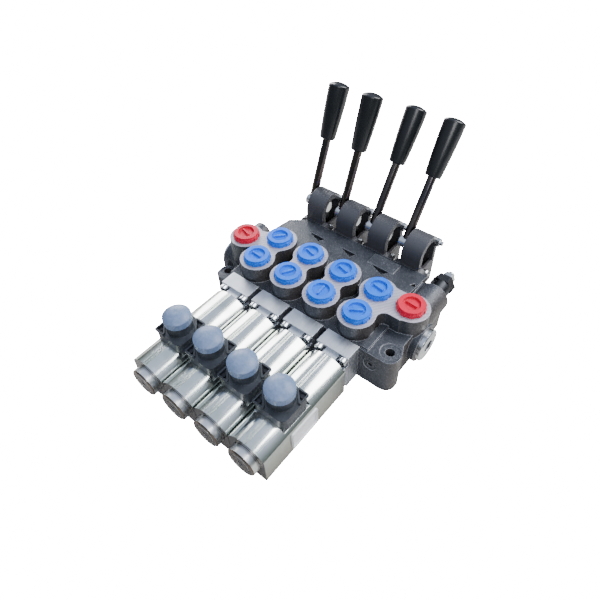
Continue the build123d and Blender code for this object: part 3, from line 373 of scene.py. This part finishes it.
# %% Finishes by the record's slots
finishes = {
    "cast_iron": cast_iron(),
    "blue_plastic": moulded("blue_polyethylene", "#006EE6", "#0060D2", 0.4, 9 * MM, 0.7 * MM, 0.12,
                            Specular_IOR_Level=0.25),
    "red_plastic": moulded("red_polyethylene", "#D2103A", "#C00A30", 0.4, 9 * MM, 0.7 * MM, 0.12,
                           Specular_IOR_Level=0.25),
    "blackened_steel": zinc_plate("oil_blackened_steel", "#3A3C40", "#2A2A2C", 0.32, 0.46, 0.2),
    "zinc_fastener": zinc_plate("zinc_fastener_steel", "#DDDFE0", "#BFC3C6", 0.14, 0.30, 0.1),
    "zinc_block": zinc_plate("zinc_block_steel", "#DDE0E4", "#C4C9CF", 0.34, 0.46, 0.05),
    "zinc_housing": housing_steel(),
    "winding": zinc_plate("enamelled_copper", "#B96A3D", "#9A5530", 0.3, 0.4, 0.2),
    "bare_steel": zinc_plate("ground_steel", "#C4C5C6", "#9FA1A3", 0.22, 0.4, 0.15),
    "cap_steel": turned_steel(),
    "connector_plastic": moulded("glass_filled_nylon", "#30363E", "#20242A", 0.45, 12 * MM, 0.5 * MM, 0.3),
    "dust_cap_plastic": moulded("soft_grey_cap", "#6C7F9E", "#5C6E8E", 0.45, 3.5 * MM, 0.8 * MM, 0.2),
    "bracket_coat": bracket_coat(),
    # Chrome painted dark brown and blue-grey: a painted reflection of dark surroundings.
    "rod_chrome": zinc_plate("hard_chrome_painted_reflection", "#6E6662", "#4E4C54", 0.10, 0.18, 0.05),
    "knob_plastic": moulded("black_phenolic", "#14171B", "#0F1114", 0.26, 15 * MM, 1.5 * MM, 0.05),
    "seal_rubber": moulded("seal_rubber", "#17181A", "#101112", 0.6, 5 * MM, 0.6 * MM, 0.3),
}

for entry in frame["record"]["subparts"]:
    solid = nodes[entry["node"]]
    solid.data.materials.clear()
    solid.data.materials.append(finishes[entry["material_slot"]])
print("finishes:", len(finishes))

# %% [markdown]
# ## Blank label
# The outer side of the last solenoid carries a small sticker. It is left bare here. A plane
# would look like paint, so it is a rounded sheet of vinyl with a real thickness.

# %% A rounded vinyl label on the last solenoid
LABEL_THICKNESS = 0.15 * MM
LABEL_CORNER = 2.0 * MM
housing_low, housing_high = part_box("solenoid_housing_4")
LABEL_SIZE = (33 * MM, 22 * MM)
LABEL_CENTRE = (housing_high.x + LABEL_THICKNESS / 2, housing_low.y + 48.7 * MM, 20.5 * MM)


def finish_piece(piece, name, material, body):
    """Bakes a piece's place into its mesh, names it, gives its finish and sets what it rides on."""
    bpy.ops.object.select_all(action="DESELECT")
    piece.select_set(True)
    bpy.context.view_layer.objects.active = piece
    bpy.ops.object.transform_apply(location=True, rotation=True, scale=True)
    bpy.ops.object.select_all(action="DESELECT")
    piece.name = name
    piece.data.name = name
    piece.data.materials.clear()
    piece.data.materials.append(material)
    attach(piece, body)
    return piece


vinyl = moulded("white_vinyl_label", "#E9E9EA", "#DADBDD", 0.35, 20 * MM, 0.4 * MM, 0.05)
bpy.ops.mesh.primitive_cube_add(size=1, location=LABEL_CENTRE)
label = bpy.context.active_object
label.dimensions = (LABEL_THICKNESS, *LABEL_SIZE)
bpy.ops.object.transform_apply(location=False, rotation=False, scale=True)
bpy.ops.object.mode_set(mode="EDIT")
bpy.ops.mesh.select_all(action="DESELECT")
bpy.ops.object.mode_set(mode="OBJECT")
for edge in label.data.edges:
    ends = [label.data.vertices[index].co for index in edge.vertices]
    edge.select = abs(ends[0].x - ends[1].x) > LABEL_THICKNESS / 2
bpy.ops.object.mode_set(mode="EDIT")
bpy.ops.mesh.select_mode(type="EDGE")
bpy.ops.mesh.bevel(offset=LABEL_CORNER, segments=6)
bpy.ops.object.mode_set(mode="OBJECT")
finish_piece(label, "blank_label", vinyl, "valve")
print("label at:", [round(value / MM, 1) for value in LABEL_CENTRE])

# %% [markdown]
# ## Camera
# The camera stands where the photographer stood: high in front of the solenoids and to the
# right. Its place and its three angles were fitted to the photograph, so they are given as
# numbers, and the rotation is built from the direction that the camera looks back from.

# %% Camera
CAMERA_PLACE = Vector((212.88, -268.11, 399.59)) * MM
CAMERA_AZIMUTH = radians(41.15)
CAMERA_ELEVATION = radians(47.73)
CAMERA_ROLL = radians(-2.70)
FOCAL_PIXELS = 499.46
IMAGE_PIXELS = 600
SENSOR = 36.0

back = Vector((sin(CAMERA_AZIMUTH) * cos(CAMERA_ELEVATION), -cos(CAMERA_AZIMUTH) * cos(CAMERA_ELEVATION),
               sin(CAMERA_ELEVATION)))
level_right = (-back).cross(Vector((0, 0, 1))).normalized()
level_up = level_right.cross(-back)
right = level_right * cos(CAMERA_ROLL) + level_up * sin(CAMERA_ROLL)
up = level_up * cos(CAMERA_ROLL) - level_right * sin(CAMERA_ROLL)

bpy.ops.object.camera_add()
camera = bpy.context.active_object
camera.matrix_world = Matrix.Translation(CAMERA_PLACE) @ Matrix((right, up, back)).transposed().to_4x4()
camera.data.sensor_width = SENSOR
camera.data.lens = FOCAL_PIXELS / IMAGE_PIXELS * SENSOR
camera.data.clip_start = 10 * MM
camera.data.clip_end = 20
bpy.context.scene.camera = camera
print("camera lens:", round(camera.data.lens, 2), "mm")

# %% [markdown]
# ## Floor and light
# The photograph has a plain white ground that burns out. A floor that bright would also flood
# the valve from below, so the floor is pale paper that glows for the camera alone: the Light
# Path node tells whether a ray comes straight from the camera. Bright plate is only as
# interesting as what it reflects. Each round housing of the photograph shows two white bands,
# and following the camera's line of sight off the plate tells where they come from: a low
# window on the left behind the valve, and a high one on the right behind it. A weaker light
# stands in front, and the sky is blue-white overhead and dim and a little green near the
# horizon, which darkens the flanks.

# %% Floor
FLOOR_GLOW = 40.0
bpy.ops.mesh.primitive_plane_add(size=8, location=(0, 0, 0))
floor = bpy.context.active_object
floor.name = "floor"
paper, paper_shader = start_material("pale_paper", Roughness=0.9, Base_Color=linear("#C4C1BB"),
                                     Emission_Color=linear("#FFFFFF"))
seen = add_node(paper, "LightPath").outputs["Is Camera Ray"]
glow = add_node(paper, "Math", {0: seen, 1: FLOOR_GLOW}, operation="MULTIPLY")
feed(paper, paper_shader["Emission Strength"], glow.outputs[0])
floor.data.materials.append(paper)

# %% Softboxes
LIGHT_TARGET = Vector((0, 0, 30 * MM))
softboxes = {
    "low_window": {"from": (-1.0, 0.66, 0.44), "size": (0.8, 0.8), "power": 20.0},
    "high_window": {"from": (0.46, 0.61, 0.89), "size": (0.8, 0.75), "power": 22.0},
    "front": {"from": (0.8, -0.9, 1.1), "size": (0.7, 0.7), "power": 12.0},
}
for name, facts in softboxes.items():
    place = Vector(facts["from"])
    aim = (LIGHT_TARGET - place).to_track_quat("-Z", "Y").to_euler()
    bpy.ops.object.light_add(type="AREA", location=place, rotation=aim)
    light = bpy.context.active_object
    light.name = f"softbox_{name}"
    light.data.shape = "RECTANGLE"
    light.data.size, light.data.size_y = facts["size"]
    light.data.energy = facts["power"]
print("softboxes:", len(softboxes))

# %% Sky
HORIZON_LIGHT = 0.18
ZENITH_LIGHT = 1.1
world = bpy.data.worlds.new("overcast_sky")
world.use_nodes = True
sky = world.node_tree.nodes["Background"].inputs
upward = add_node(world, "SeparateXYZ", {"Vector": add_node(world, "TexCoord").outputs["Generated"]}).outputs["Z"]
rise = add_node(world, "MapRange", {"Value": upward, "From Min": 0.05, "From Max": 0.75})
hue = add_node(world, "Mix", {0: rise.outputs[0], 6: linear("#B9C4BC"), 7: linear("#D4E2FF")}, data_type="RGBA")
power = add_node(world, "MapRange", {"Value": rise.outputs[0], "To Min": HORIZON_LIGHT, "To Max": ZENITH_LIGHT})
feed(world, sky["Color"], hue.outputs[2])
feed(world, sky["Strength"], power.outputs[0])
bpy.context.scene.world = world
